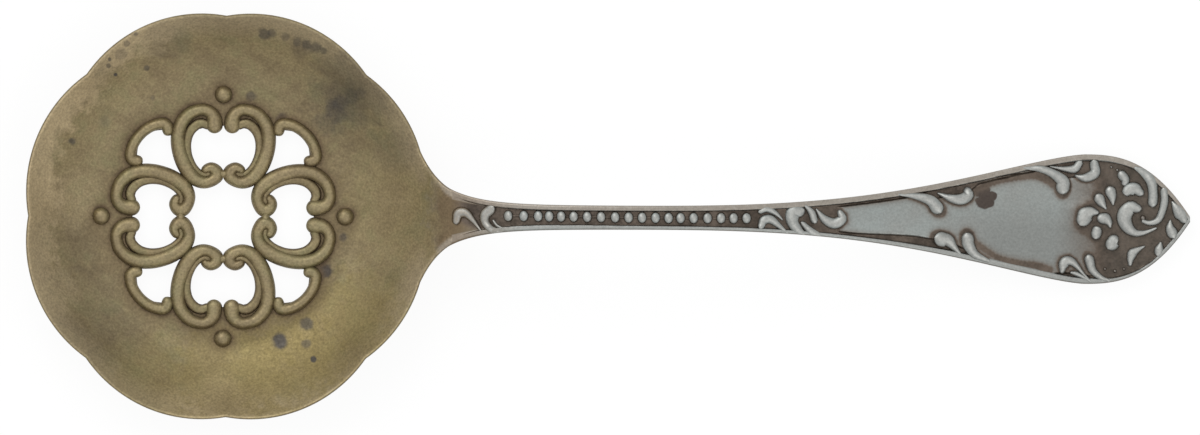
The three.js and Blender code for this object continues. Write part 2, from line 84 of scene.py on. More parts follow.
def grid_piece(name, grids, capped=False, wrapped=False):
    """Mesh over grids of points in millimetres (rows, columns, xyz): one quad between each four neighbours.
    Columns always close on themselves; rows close too if wrapped, or get flat end caps."""
    faces = []
    start = 0
    for points in grids:
        rows, columns = points.shape[:2]
        index = start + np.arange(rows * columns).reshape(rows, columns)
        ahead = np.roll(index, -1, axis=0) if wrapped else index[1:]
        here = index if wrapped else index[:-1]
        quads = np.stack([here, np.roll(here, -1, 1), np.roll(ahead, -1, 1), ahead], axis=-1)
        faces += quads.reshape(-1, 4).tolist()
        if capped:
            faces += [index[0][::-1].tolist(), index[-1].tolist()]
        start += rows * columns
    places = np.concatenate([points.reshape(-1, 3) for points in grids]) * MM + np.array([BOWL_X * MM, 0, 0])
    mesh = bpy.data.meshes.new(name)
    mesh.from_pydata(places.tolist(), [], faces)
    mesh.polygons.foreach_set("use_smooth", np.ones(len(faces), bool))
    mesh.set_sharp_from_angle(angle=CREASE)
    mesh.update()
    piece = bpy.data.objects.new(name, mesh)
    bpy.context.scene.collection.objects.link(piece)
    return piece


def point_layer(piece, name, values):
    """Stores one value per point, held between -1 and 1, as the piece's own attribute. The layer called grime
    counts dirt, oxide and painted shade above 0, and rubbing and painted highlights below; upper is 1 on a
    face that lies open to the air."""
    layer = piece.data.attributes.new(name, "FLOAT", "POINT")
    layer.data.foreach_set("value", np.clip(values, -1, 1).astype(np.float32).ravel())


def smooth(x, low, high):
    """Smooth step: 0 below low, 1 above high, a cubic between."""
    t = np.clip((x - low) / (high - low), 0, 1)
    return t * t * (3 - 2 * t)


def handle_half(at):
    """Half the handle's width at a distance from the bowl's centre: a neck that fades out
    exponentially, a taper that swells to the shoulder, then a pointed arch to the tip."""
    fade = np.where(at < JOINT, NECK_FADE_BOWL, NECK_FADE)
    neck = (NECK_HALF - STEM_HALF) * np.exp((JOINT - at) / fade)
    share = np.clip((at - NARROW) / TAPER_LENGTH, 0, 1)
    body = STEM_HALF + neck + (SHOULDER_HALF - STEM_HALF) * (1 - (1 - share ** TAPER_SWELL) ** TAPER_EASE)
    over = np.clip((at - SHOULDER) / TIP_LENGTH, 0, 1)
    arch = TIP_HALF + (SHOULDER_HALF - TIP_HALF) * (1 - over ** TIP_FULLNESS)
    return np.where(at > SHOULDER, arch, body)


def rim_angle(angle):
    """Angle of a ray before the bowl is stretched across the handle."""
    return np.arctan2(np.sin(angle) / STRETCH, np.cos(angle))


def crest_rim(angle):
    """Radius of the stretched circle through the crests of the scallops."""
    return LOBE_CREST * np.hypot(np.cos(rim_angle(angle)), STRETCH * np.sin(rim_angle(angle)))


def lobe_rim(angle):
    """Rim radius along a ray: the far side of the nearest scallop's circle, stretched with the bowl."""
    off = np.mod(rim_angle(angle), LOBE_STEP) - LOBE_STEP / 2
    reach = LOBE_OFFSET * np.cos(off) + np.sqrt(LOBE_RADIUS ** 2 - (LOBE_OFFSET * np.sin(off)) ** 2)
    return reach / LOBE_CREST * crest_rim(angle)


def neck_rim(angle):
    """Distance along a ray to the neck's flared edge or end face, found by halving on whole arrays."""
    inside = np.zeros_like(angle)
    outside = (JOINT + NECK_LAP) / np.cos(angle)
    for halving in range(40):
        middle = (inside + outside) / 2
        clear = np.abs(middle * np.sin(angle)) > handle_half(middle * np.cos(angle))
        outside = np.where(clear, middle, outside)
        inside = np.where(clear, inside, middle)
    return inside


def bowl_rim(angle):
    """Rim of bowl and neck together: scallops, and the neck where a ray runs into it. The search for the
    neck's edge is held to rays that point its way."""
    sideways = np.abs(rim_angle(angle))
    neck = neck_rim(np.minimum(np.abs(np.angle(np.exp(1j * angle))), NECK_SEARCH))
    return np.where(sideways < LOBE_STEP / 2, np.maximum(neck, lobe_rim(angle)), lobe_rim(angle))


def dish_rise(r, angle):
    """Height of the bowl's underside: flat base, a wall that steepens as a power of the distance out to
    the rim, round below and scalloped above, and beyond the rim the neck's rise, which eases to the
    handle's slope."""
    crest = crest_rim(angle)
    scallop = np.where(np.abs(rim_angle(angle)) < LOBE_STEP / 2, crest, lobe_rim(angle))
    rim = crest + (scallop - crest) * smooth((r - BASE_RADIUS) / (scallop - BASE_RADIUS), 0.5, 1)
    run = rim - BASE_RADIUS
    wall = BOWL_DEPTH * np.clip((r - BASE_RADIUS) / run, 0, 1) ** STEEPNESS
    rim_slope = STEEPNESS * BOWL_DEPTH / run
    beyond = np.maximum(r - rim, 0)
    return wall + rim_slope * beyond - (rim_slope - NECK_SLOPE) * beyond ** 2 / (2 * (JOINT - rim))


def bowl_top(x, y):
    """Height of the bowl's upper face over a point measured from the bowl's centre."""
    return WALL + dish_rise(np.hypot(x, y), np.arctan2(y, x))


ROSETTE_SHIFT = -0.3
WINDOW_RADIUS = 9.05
WINDOW_BULGE = 1.1
WINDOW_STEPS = np.radians([17, 29, 44])
BOWL_RAYS = 720
BOWL_RINGS = 64
LAP_DROP = 0.02

turn = np.arange(BOWL_RAYS) / BOWL_RAYS * 2 * np.pi
off_axis = np.abs(np.mod(turn + np.pi / 4, np.pi / 2) - np.pi / 4)
steps = smooth(off_axis, *WINDOW_STEPS[:2]) + smooth(off_axis, *WINDOW_STEPS[1:])
window = WINDOW_RADIUS + WINDOW_BULGE * steps
inner_x = window * np.cos(turn) + ROSETTE_SHIFT
inner_y = window * np.sin(turn)
inner = np.hypot(inner_x, inner_y)
angle = np.arctan2(inner_y, inner_x)
rim = bowl_rim(angle)
outward = np.linspace(0, 1, BOWL_RINGS)[None, :] ** 0.85
roll = np.linspace(np.pi / 2, -np.pi / 2, 9)[None, :]
top_r = inner[:, None] + (rim - RIM_ROUND - inner)[:, None] * outward
edge_r = (rim - RIM_ROUND)[:, None] + RIM_ROUND * np.cos(roll)
r = np.concatenate([top_r, edge_r[:, 1:-1], top_r[:, ::-2]], axis=1)
rays = np.broadcast_to(angle[:, None], r.shape)
lift = np.concatenate([np.full(BOWL_RINGS, WALL), WALL / 2 * (1 + np.sin(roll[0, 1:-1])),
                       np.zeros(BOWL_RINGS // 2)])[None, :]
x = r * np.cos(rays)
y = r * np.sin(rays)
toward_neck = 1 - smooth(np.abs(rays), np.arctan2(NECK_HALF, JOINT), LOBE_STEP / 2)
thicken = NECK_THICKENING * toward_neck * smooth(x, LOBE_CREST - NECK_HALF, JOINT)
z = dish_rise(r, rays) + lift - thicken * (1 - lift / WALL) - LAP_DROP * smooth(x, JOINT - 0.1, JOINT)
bowl = grid_piece("bowl_dish", [np.stack([x, y, z], axis=-1)], wrapped=True)
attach(bowl, "root")
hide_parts("pierced_bowl")
bowl_plan = (x, y, lift)

# Rosette scrolls: four pairs of C-scrolls raised in relief round the piercings, each a domed bar with a
# low, dirty ledge along its hollow, which closes the eye of the inner curl, and half a bridge to its twin.
# They are the bowl's own metal, chased after the piercing was sawn.
SCROLL_HEIGHT = 0.75
SCROLL_FOOT = 0.02
FOOT_RISE = 0.06
BLUNT_LEAST = 0.06


def through(points, shares):
    """Smooth plan curve through a few points (uniform Catmull-Rom cubics), read at shares of its length.
    Further columns, such as a half width, are carried along."""
    p = np.asarray(points, float)
    ends = np.vstack([2 * p[0] - p[1], p, 2 * p[-1] - p[-2]])
    t = np.linspace(0, len(p) - 1, 60 * (len(p) - 1) + 1)
    i = np.minimum(t.astype(int), len(p) - 2)
    f = (t - i)[:, None]
    a, b, c, d = ends[i], ends[i + 1], ends[i + 2], ends[i + 3]
    bend = 2 * a - 5 * b + 4 * c - d
    twist = 3 * b - a - 3 * c + d
    fine = 0.5 * (2 * b + (c - a) * f + bend * f ** 2 + twist * f ** 3)
    length = np.concatenate([[0], np.cumsum(np.linalg.norm(np.diff(fine[:, :2], axis=0), axis=1))])
    want = shares * length[-1]
    return np.stack([np.interp(want, length, column) for column in fine.T], axis=-1), length[-1]


def strip_points(path, half, height, section, seat, foot, within=None):
    """Relief carried along a plan path: at each station the section's shares of the half width and height
    stand on the seat, and the sides drop straight to the foot. A rim to stay within trims it sideways."""
    ahead = np.gradient(path, axis=0)
    ahead /= np.linalg.norm(ahead, axis=1, keepdims=True)
    left = np.stack([-ahead[:, 1], ahead[:, 0]], axis=-1)
    across, up = section
    plan = path[:, None, :] + left[:, None, :] * (across * half[:, None])[..., None]
    if within:
        room = within(plan[..., 0])
        plan[..., 1] = np.clip(plan[..., 1], -room, room)
    level = seat(path[:, 0], path[:, 1])[:, None]
    top = np.concatenate([plan, (level + up * height[:, None])[..., None]], axis=-1)
    sides = plan[:, [-1, 0]]
    low = np.concatenate([sides, foot(sides[..., 0], sides[..., 1])[..., None]], axis=-1)
    return np.concatenate([low, top], axis=1)


def round_end(distance, radius):
    """Quarter-circle rise from a blunt end, over one radius of length, never quite from nothing."""
    share = np.clip(distance / radius, 0, 1)
    return np.maximum(BLUNT_LEAST, np.sqrt(1 - (1 - share) ** 2))


def dense_ends(count):
    """Shares from 0 to 1, closer together towards both ends."""
    return (1 - np.cos(np.pi * np.linspace(0, 1, count))) / 2


SCROLL_COURSE = [(0.9, 8.3, 0.8), (0.9, 9.15, 0.84), (0.97, 9.9, 0.76), (1.38, 10.46, 0.66),
                 (2.15, 10.68, 0.62), (3.3, 10.32, 0.66), (4.15, 9.4, 0.7), (4.5, 8.3, 0.73),
                 (4.48, 7.1, 0.76), (4.16, 5.85, 0.79), (3.66, 4.78, 0.79), (3.0, 3.92, 0.75),
                 (2.15, 3.45, 0.66), (1.35, 3.52, 0.63), (0.7, 4.0, 0.7), (0.72, 4.5, 0.68),
                 (1.2, 4.86, 0.56), (1.72, 4.68, 0.48), (1.86, 4.28, 0.36)]
LEDGE_COURSE = [(1.2, 8.95, 0.42), (2.2, 9.32, 0.5), (2.95, 8.95, 0.52), (3.44, 8.25, 0.48),
                (3.64, 7.3, 0.44), (3.54, 6.3, 0.4), (3.24, 5.5, 0.36), (2.8, 4.85, 0.3),
                (2.3, 4.36, 0.32), (1.75, 4.22, 0.42), (1.1, 4.4, 0.46)]
LEDGE_HEIGHT = 0.42
LEDGE_FOOT = 0.1
LEDGE_DIRT = 0.5
BRIDGE_COURSE = [(0.9, 4.25, 0.46), (0.3, 4.25, 0.44), (-0.35, 4.25, 0.44)]
BRIDGE_HEIGHT = 0.6
BRIDGE_FOOT = {1: 0.18, -1: 0.22}
SIDE_DIRT = 0.75
scroll_across = np.linspace(1, -1, 25)
scroll_dome = (1 - np.abs(scroll_across) ** 2.3) ** 0.55
scroll_dirt = np.append([SIDE_DIRT, SIDE_DIRT], np.clip(0.7 - 1.45 * scroll_dome, -0.7, 0.6))


def quarter_turn(points, quarter):
    """Plan points turned about the rosette's centre by quarters, then set on the bowl."""
    c, s = np.cos(quarter * np.pi / 2), np.sin(quarter * np.pi / 2)
    return points @ np.array([[c, s], [-s, c]]) + np.array([ROSETTE_SHIFT, 0])


def turned_course(course, mirror, quarter):
    """A course of plan places and half widths, mirrored or not and turned to its quarter of the rosette."""
    placed = np.array(course) * np.array([mirror, 1, 1])
    placed[:, :2] = quarter_turn(placed[:, :2], quarter)
    return placed


def rosette_strip(course, stations, height, foot):
    """Full-depth bar with a domed top along a course, round at both ends; its underside rises a little from
    one end to the other, so that strips that cross don't lie in one plane. Also its plan and its dirt."""
    shares = dense_ends(stations)
    line, length = through(course, shares)
    ends = round_end(shares * length, course[0, 2]) * round_end((1 - shares) * length, course[-1, 2])
    path, half = line[:, :2], line[:, 2] * ends
    underside = np.repeat(foot + FOOT_RISE * shares[:, None], 2, axis=1)
    points = strip_points(path, half, height * (0.25 + 0.75 * ends), (scroll_across, scroll_dome), bowl_top,
                          lambda x, y: underside)
    return points, (path, half), np.tile(scroll_dirt, (stations, 1))


rosette_paths = []
gilt_pieces = [bowl]
for quarter in range(4):
    for mirror in (1, -1):
        strips = []
        for course, stations, height, foot in ((SCROLL_COURSE, 150, SCROLL_HEIGHT, SCROLL_FOOT),
                                               (LEDGE_COURSE, 90, LEDGE_HEIGHT, LEDGE_FOOT),
                                               (BRIDGE_COURSE, 24, BRIDGE_HEIGHT, BRIDGE_FOOT[mirror])):
            strips.append(rosette_strip(turned_course(course, mirror, quarter), stations, height, foot))
        points, plans, darkening = zip(*strips)
        name = f"rosette_scroll_{2 * quarter + (1 if mirror > 0 else 2)}"
        scroll = grid_piece("gilt_" + name, points, capped=True)
        point_layer(scroll, "grime_and_painted_light", np.concatenate([darkening[0], darkening[1] + LEDGE_DIRT, darkening[2]]))
        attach(scroll, "root")
        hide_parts(name)
        gilt_pieces.append(scroll)
        rosette_paths += plans[:2]

# Corner scrolls: a slim C across each diagonal of the rosette, hooked in at both ends. They are the bowl's
# metal too, and close the rosette between its pairs of large scrolls.
CORNER_COURSE = [(9.75, 1.65, 0.52), (10.1, 2.25, 0.64), (10.75, 2.35, 0.61), (11.37, 1.5, 0.58),
                 (11.64, 0.5, 0.57), (11.64, -0.5, 0.57), (11.37, -1.5, 0.58), (10.75, -2.35, 0.61),
                 (10.1, -2.25, 0.64), (9.75, -1.65, 0.52)]
CORNER_HEIGHT = 0.7
slanted = np.array(CORNER_COURSE)
slanted[:, :2] = slanted[:, :2] @ np.array([[1, 1], [-1, 1]]) / np.sqrt(2)
for quarter in range(4):
    points, plan, darkening = rosette_strip(turned_course(slanted, 1, quarter), 90, CORNER_HEIGHT, SCROLL_FOOT)
    name = f"corner_scroll_{quarter + 1}"
    corner = grid_piece("gilt_" + name, [points], capped=True)
    point_layer(corner, "grime_and_painted_light", darkening)
    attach(corner, "root")
    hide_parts(name)
    gilt_pieces.append(corner)
    rosette_paths.append(plan)

# Rosette pearls: four round drops of the bowl's metal, one outside each pair of scrolls. They are raised
# with a punch, so they stand proud of the floor, and their tops are rubbed bright.
PEARL_AT = 12.2
PEARL_RADIUS = 0.9
PEARL_HEIGHT = 0.75
PEARL_SINK = 0.15
DROP_CLOSED = 0.98
around = np.arange(48) / 48 * 2 * np.pi
rise = np.linspace(0, 1, 17)[:, None]
pearl_dirt = np.clip(SIDE_DIRT - 2.2 * rise, -0.7, SIDE_DIRT)


def drop_points(centre, radius, height, sink, seat):
    """Round drop on a seat: rings that draw in as a cosine while they rise as a sine, from a little below it.
    The top ring stays open by a hair, and a cap fills it."""
    ring = radius * np.cos(rise * np.pi / 2 * DROP_CLOSED)
    x = centre[0] + ring * np.cos(around)
    y = centre[1] + ring * np.sin(around)
    z = seat(x, y) - sink + (height + sink) * np.sin(rise * np.pi / 2)
    return np.stack([x, y, z], axis=-1)


for quarter in range(4):
    centre = quarter_turn(np.array([[0, PEARL_AT]]), quarter)[0]
    level = bowl_top(*centre)
    drop = drop_points(centre, PEARL_RADIUS, PEARL_HEIGHT, PEARL_SINK, lambda x, y: np.full(x.shape, level))
    name = f"rosette_pearl_{quarter + 1}"
    pearl = grid_piece("gilt_" + name, [drop], capped=True)
    point_layer(pearl, "grime_and_painted_light", np.broadcast_to(pearl_dirt, drop.shape[:2]))
    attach(pearl, "root")
    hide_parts(name)
    gilt_pieces.append(pearl)
    rosette_paths.append((centre[None, :], np.array([PEARL_RADIUS])))

# Bowl dirt and painted shade: brown soil that wiping never reaches, mixed with a painted shade beside the
# raised work, thick beside it and thin farther out. The wall, the rim and the neck's edges are rubbed by use,
# and the underside keeps an even film.
DIRT_AND_SHADE_BESIDE = [(0.3, 0.42), (0.22, 1.3)]
UNDERSIDE_DIRT = 0.25


def gap_to(x, y, paths):
    """Distance of points from the edge of the nearest strip, 0 within it: the least of the distances to every
    third station less its half width."""
    nearest = np.full(x.shape, 9.0)
    for path, half in paths:
        for (px, py), edge in zip(path[::3], half[::3]):
            nearest = np.minimum(nearest, np.hypot(x - px, y - py) - edge)
    return np.maximum(nearest, 0)


x, y, lift = bowl_plan
upper = np.broadcast_to(lift, x.shape) > WALL * 0.9
gap = gap_to(x, y, rosette_paths)
# Painted shade mixed with soil: the floor darkens the nearer it lies to the scrolls and pearls.
beside = sum(share * np.exp(-gap / reach) for share, reach in DIRT_AND_SHADE_BESIDE)
at_neck = smooth(x, LOBE_CREST - 1, LOBE_CREST + 1)
on_wall = 0.6 * smooth(np.hypot(x, y), BASE_RADIUS, LOBE_CREST - 2)
on_wall = on_wall + 0.4 * smooth(rim[:, None] - np.hypot(x, y), 3, 0.3)
on_edge = smooth(np.abs(y) - handle_half(x), -1, -0.35)
rubbed = on_wall + (on_edge - on_wall) * at_neck
point_layer(bowl, "grime_and_painted_light", np.where(upper, beside - rubbed, UNDERSIDE_DIRT))
point_layer(bowl, "upper", upper)

# Gilt finish: thin gilding over silver, gone olive and brown, darker round the relief, worn through to silver
# where the neck meets the handle. Its tarnish spots and its pale and golden patches lie where the photograph
# has them: each has its centre and radius in pixels and its strength.


def add(tree, kind, inputs=None, **settings):
    """Adds a node, sets its own settings, then fills inputs with values or links sockets into them."""
    made = tree.nodes.new(kind)
    for key, value in settings.items():
        setattr(made, key, value)
    for key, value in (inputs or {}).items():
        if isinstance(value, bpy.types.NodeSocket):
            tree.links.new(value, made.inputs[key])
        else:
            made.inputs[key].default_value = value
    return made


def ranged(tree, value, start, end, least=0, most=1, eased=False):
    """Number that runs from least to most while a value runs from start to end, straight or eased."""
    ends = {"From Min": start, "From Max": end, "To Min": least, "To Max": most}
    made = add(tree, "ShaderNodeMapRange", {"Value": value, **ends},
               interpolation_type="SMOOTHSTEP" if eased else "LINEAR")
    return made.outputs[0]


def worked(tree, operation, first, second):
    """Number worked out from two others by a named operation."""
    return add(tree, "ShaderNodeMath", {0: first, 1: second}, operation=operation).outputs[0]


def cloudy(tree, place, scale, detail, roughness=0.5):
    """Cloudy noise round a half; its scale counts the clouds in a metre."""
    settings = {"Scale": scale, "Detail": detail, "Roughness": roughness}
    return add(tree, "ShaderNodeTexNoise", {"Vector": place, **settings}).outputs[0]


def started_group(name, inputs, outputs):
    """Empty shader node group with named sockets, each listed with its kind; also what it is given."""
    tree = bpy.data.node_groups.new(name, "ShaderNodeTree")
    for side, sockets in (("INPUT", inputs), ("OUTPUT", outputs)):
        for socket, kind in sockets.items():
            tree.interface.new_socket(socket, in_out=side, socket_type="NodeSocket" + kind)
    return tree, add(tree, "NodeGroupInput").outputs


def spot_group():
    """Node group: a round tarnish spot with a ragged edge, as a mask from 1 at its heart to 0 outside."""
    tree, given = started_group("tarnish_spot", {"Place": "Vector", "Centre": "Vector", "Radius": "Float",
                                                 "Ragged": "Float"}, {"Mask": "Float"})
    flat = add(tree, "ShaderNodeVectorMath", {0: given["Place"], 1: (1, 1, 0)}, operation="MULTIPLY")
    gap = add(tree, "ShaderNodeVectorMath", {0: flat.outputs[0], 1: given["Centre"]}, operation="DISTANCE")
    wander = worked(tree, "SUBTRACT", cloudy(tree, given["Place"], 900, 4), 0.5)
    bend = worked(tree, "MULTIPLY", wander, given["Ragged"])
    ratio = worked(tree, "DIVIDE", gap.outputs["Value"], given["Radius"])
    mask = ranged(tree, worked(tree, "ADD", ratio, bend), 1.1, 0.5, eased=True)
    add(tree, "NodeGroupOutput", {"Mask": mask})
    return tree


def grain_group():
    """Node group: a colour made lighter and darker by a fine noise, by up to the swing either way."""
    tree, given = started_group("metal_grain", {"Place": "Vector", "Scale": "Float", "Swing": "Float",
                                                "Plain": "Color"}, {"Grained": "Color"})
    noise = cloudy(tree, given["Place"], given["Scale"], 2, 0.6)
    least = worked(tree, "SUBTRACT", 1, given["Swing"])
    most = worked(tree, "ADD", 1, given["Swing"])
    tone = ranged(tree, noise, 0.3, 0.7, least, most)
    made = add(tree, "ShaderNodeMix", {0: 1, 6: given["Plain"], 7: tone}, data_type="RGBA",
               blend_type="MULTIPLY")
    add(tree, "NodeGroupOutput", {"Grained": made.outputs[2]})
    return tree


def speckle_group():
    """Node group: the metal's fine pitting as a noise, and the roughness and bumped normal that follow it."""
    tree, given = started_group("speckle", {"Place": "Vector", "Scale": "Float", "Smoothest": "Float",
                                            "Roughest": "Float", "Strength": "Float", "Distance": "Float"},
                                {"Speck": "Float", "Roughness": "Float", "Normal": "Vector"})
    noise = cloudy(tree, given["Place"], given["Scale"], 3, 0.7)
    rough = ranged(tree, noise, 0.3, 0.7, given["Smoothest"], given["Roughest"])
    bump = add(tree, "ShaderNodeBump", {"Height": noise, "Strength": given["Strength"],
                                        "Distance": given["Distance"]})
    add(tree, "NodeGroupOutput", {"Speck": noise, "Roughness": rough, "Normal": bump.outputs[0]})
    return tree


def grime_group():
    """Node group: soil as two shares, a thin film that is full early and a crust that grows after it."""
    tree, given = started_group("grime_and_painted_light", {"Soil": "Float", "Film Begins": "Float", "Film Full": "Float",
                                          "Crust Begins": "Float"}, {"Film": "Float", "Crust": "Float"})
    film = ranged(tree, given["Soil"], given["Film Begins"], given["Film Full"])
    crust = ranged(tree, given["Soil"], given["Crust Begins"], 1)
    add(tree, "NodeGroupOutput", {"Film": film, "Crust": crust})
    return tree


def effect(tree, group, inputs):
    """Outputs of a shared effect, placed in a material with its own values."""
    return add(tree, "ShaderNodeGroup", inputs, node_tree=group).outputs


def mixed(tree, share, first, second):
    """Colour mixed from first to second by a share."""
    made = add(tree, "ShaderNodeMix", {0: share, 6: first, 7: second}, data_type="RGBA")
    return made.outputs[2]


def from_bowl(at):
    """Place along the spoon, in metres, of a distance from the bowl's centre."""
    return (at + BOWL_X) * MM


def photo_spot(tree, place, px, py, radius, ragged):
    """Mask of a ragged spot whose centre and radius are in the photograph's pixels, PIXEL millimetres each."""
    centre = (from_bowl((px - CENTRE_PX) * PIXEL), (CENTRE_PY - py) * PIXEL * MM, 0)
    return effect(tree, spot, {"Place": place, "Centre": centre, "Radius": radius * PIXEL * MM,
                               "Ragged": ragged})["Mask"]


def point_share(tree, name):
    """Value of a piece's own point layer."""
    return add(tree, "ShaderNodeAttribute", attribute_name=name).outputs["Fac"]


def started_metal(name):
    """New material, its node tree, and the place on the spoon that its textures follow."""
    metal = bpy.data.materials.new(name)
    metal.use_nodes = True
    return metal, metal.node_tree, add(metal.node_tree, "ShaderNodeTexCoord").outputs["Object"]


def finished_metal(metal, place, colour, swing, pitting, metallic, pieces):
    """Puts the grained colour and the pitting's roughness and normal into the metal's shader, and the metal
    on its pieces."""
    tree = metal.node_tree
    shader = tree.nodes["Principled BSDF"]
    shader.inputs["Metallic"].default_value = metallic
    grained = effect(tree, grain, {"Place": place, "Scale": GRAIN_SCALE, "Swing": swing, "Plain": colour})
    tree.links.new(grained["Grained"], shader.inputs["Base Color"])
    for socket in ("Roughness", "Normal"):
        tree.links.new(pitting[socket], shader.inputs[socket])
    for piece in pieces:
        piece.data.materials.append(metal)


PIXEL = 0.1
CENTRE_PX = 226
CENTRE_PY = 215.5
GRAIN_SCALE = 4200
GILT = (0.24, 0.196, 0.11, 1)
GILT_OLIVE = (0.215, 0.19, 0.1, 1)
GILT_PALE = (0.31, 0.252, 0.14, 1)
GILT_BROWN = (0.165, 0.125, 0.072, 1)
GILT_RUBBED = (0.265, 0.212, 0.112, 1)
GILT_GOLD = (0.225, 0.178, 0.072, 1)
GILT_RIM = (0.36, 0.295, 0.19, 1)
GILT_LIT_AND_WORN = (0.44, 0.352, 0.215, 1)
GILT_FILM = (0.13, 0.09, 0.052, 1)
GILT_GRIME = (0.05, 0.039, 0.027, 1)
TARNISH = (0.066, 0.06, 0.055, 1)
NECK_BROWN = (0.168, 0.123, 0.072, 1)
NECK_PALE = (0.345, 0.3, 0.242, 1)
WORN_FROM = 20.4
WORN_THROUGH = 22
TARNISH_SPOTS = [
    (264, 33, 7, 0.65), (271, 31, 5, 0.5), (285, 36, 5, 0.4), (296, 41, 5, 0.45), (306, 43, 6, 0.55),
    (315, 46, 7, 0.6), (323, 50, 4, 0.5), (300, 46, 13, 0.2), (341, 101, 10, 0.5), (331, 104, 7, 0.35),
    (350, 96, 10, 0.35), (359, 92, 8, 0.25), (335, 112, 13, 0.25), (325, 121, 15, 0.22), (345, 101, 26, 0.22),
    (115, 74, 2.5, 0.95), (72, 141, 5, 0.7), (250, 95, 6, 0.7), (280, 340, 9, 0.95), (306, 323, 8, 0.75),
    (307, 343, 6, 0.6), (314, 358, 3.5, 0.95), (343, 236, 5, 0.7), (325, 269, 9, 1), (319, 271, 5, 0.8),
    (108, 65, 3, 0.6), (135, 33, 3, 0.6), (281, 118, 7, 0.85), (165, 40, 26, 0.2), (85, 300, 44, 0.14),
    (115, 335, 34, 0.16), (350, 88, 50, 0.3), (60, 250, 40, 0.12), (395, 150, 26, 0.2), (109, 59, 2.5, 0.7),
    (146, 67, 3.5, 0.6), (121, 53, 7, 0.3), (126, 43, 4, 0.45), (104, 121, 8, 0.25), (152, 97, 3, 0.4),
]
# Pale patches: painted light on the walls and rim, together with worn gilding.
PALE_PATCHES = [
    (26, 195, 40, 0.8), (30, 150, 36, 0.7), (48, 112, 34, 0.85), (75, 80, 32, 0.85), (110, 45, 30, 0.65),
    (150, 22, 34, 0.5), (30, 245, 34, 0.6), (48, 290, 34, 0.4), (225, 412, 40, 0.6), (185, 408, 30, 0.5),
    (265, 408, 30, 0.45), (400, 225, 48, 0.16), (390, 180, 36, 0.16), (62, 200, 40, 0.22),
]
GOLD_PATCHES = [(230, 372, 70, 0.45), (285, 362, 65, 0.5), (335, 335, 70, 0.45), (150, 385, 60, 0.3),
                (390, 205, 60, 0.2), (365, 305, 50, 0.25)]

spot, grain, speckle, grime_and_painted_light = spot_group(), grain_group(), speckle_group(), grime_group()
gilt, tree, place = started_metal("aged_gilt")
cloud = cloudy(tree, place, 95, 5, 0.6)
pitting = effect(tree, speckle, {"Place": place, "Scale": 1900, "Smoothest": 0.46, "Roughest": 0.62,
                                 "Strength": 0.3, "Distance": 0.00006})
mottle = cloudy(tree, place, 300, 7, 0.68)
wiped = add(tree, "ShaderNodeMapping", {"Vector": place, "Rotation": (0, 0, -0.6),
                                        "Scale": (0.012, 0.0012, 0.012)}, vector_type="TEXTURE")
streak = cloudy(tree, wiped.outputs[0], 1, 4, 0.6)
darkening = point_share(tree, "grime_and_painted_light")
tone = ranged(tree, cloud, 0.32, 0.68)
fleck = ranged(tree, pitting["Speck"], 0.38, 0.66, most=0.55)
rubbed = ranged(tree, darkening, 0, -0.6, most=0.75)
olive = ranged(tree, mottle, 0.48, 0.64, most=0.85)
smear = ranged(tree, streak, 0.5, 0.72, most=0.5)
blot = ranged(tree, mottle, 0.5, 0.33, most=0.7)
at_rim = ranged(tree, darkening, -0.6, -1, most=0.8)
colour = mixed(tree, tone, GILT_BROWN, GILT)
for share, over in ((fleck, GILT_PALE), (rubbed, GILT_RUBBED), (olive, GILT_OLIVE), (smear, GILT_BROWN),
                    (blot, GILT_BROWN), (at_rim, GILT_RIM)):
    colour = mixed(tree, share, colour, over)
upper_face = point_share(tree, "upper")
for stain, spots in ((GILT_LIT_AND_WORN, PALE_PATCHES), (GILT_GOLD, GOLD_PATCHES), (TARNISH, TARNISH_SPOTS)):
    for px, py, radius, strength in spots:
        open_spot = worked(tree, "MULTIPLY", photo_spot(tree, place, px, py, radius, 1.2), upper_face)
        colour = mixed(tree, worked(tree, "MULTIPLY", open_spot, strength), colour, stain)
patchy = ranged(tree, mottle, 0.36, 0.6, 0.5, 1.1)
# The soil, with the painted shade beside the relief, darkens the gilt as a film and a crust.
soil_and_painted_light = add(tree, "ShaderNodeMath", {0: darkening, 1: patchy}, operation="MULTIPLY", use_clamp=True).outputs[0]
layers = effect(tree, grime_and_painted_light, {"Soil": soil_and_painted_light, "Film Begins": 0.05, "Film Full": 0.5, "Crust Begins": 0.3})
colour = mixed(tree, layers["Film"], colour, GILT_FILM)
colour = mixed(tree, layers["Crust"], colour, GILT_GRIME)
along = add(tree, "ShaderNodeSeparateXYZ", {0: place}).outputs[0]
blur = add(tree, "ShaderNodeMath", {0: mottle, 1: 0.006, 2: -0.003}, operation="MULTIPLY_ADD").outputs[0]
blurred = worked(tree, "ADD", along, blur)
wear = ranged(tree, blurred, from_bowl(WORN_FROM), from_bowl(WORN_THROUGH), eased=True)
colour = mixed(tree, wear, colour, mixed(tree, rubbed, NECK_BROWN, NECK_PALE))
finished_metal(gilt, place, colour, 0.2, pitting, 0.85, gilt_pieces)

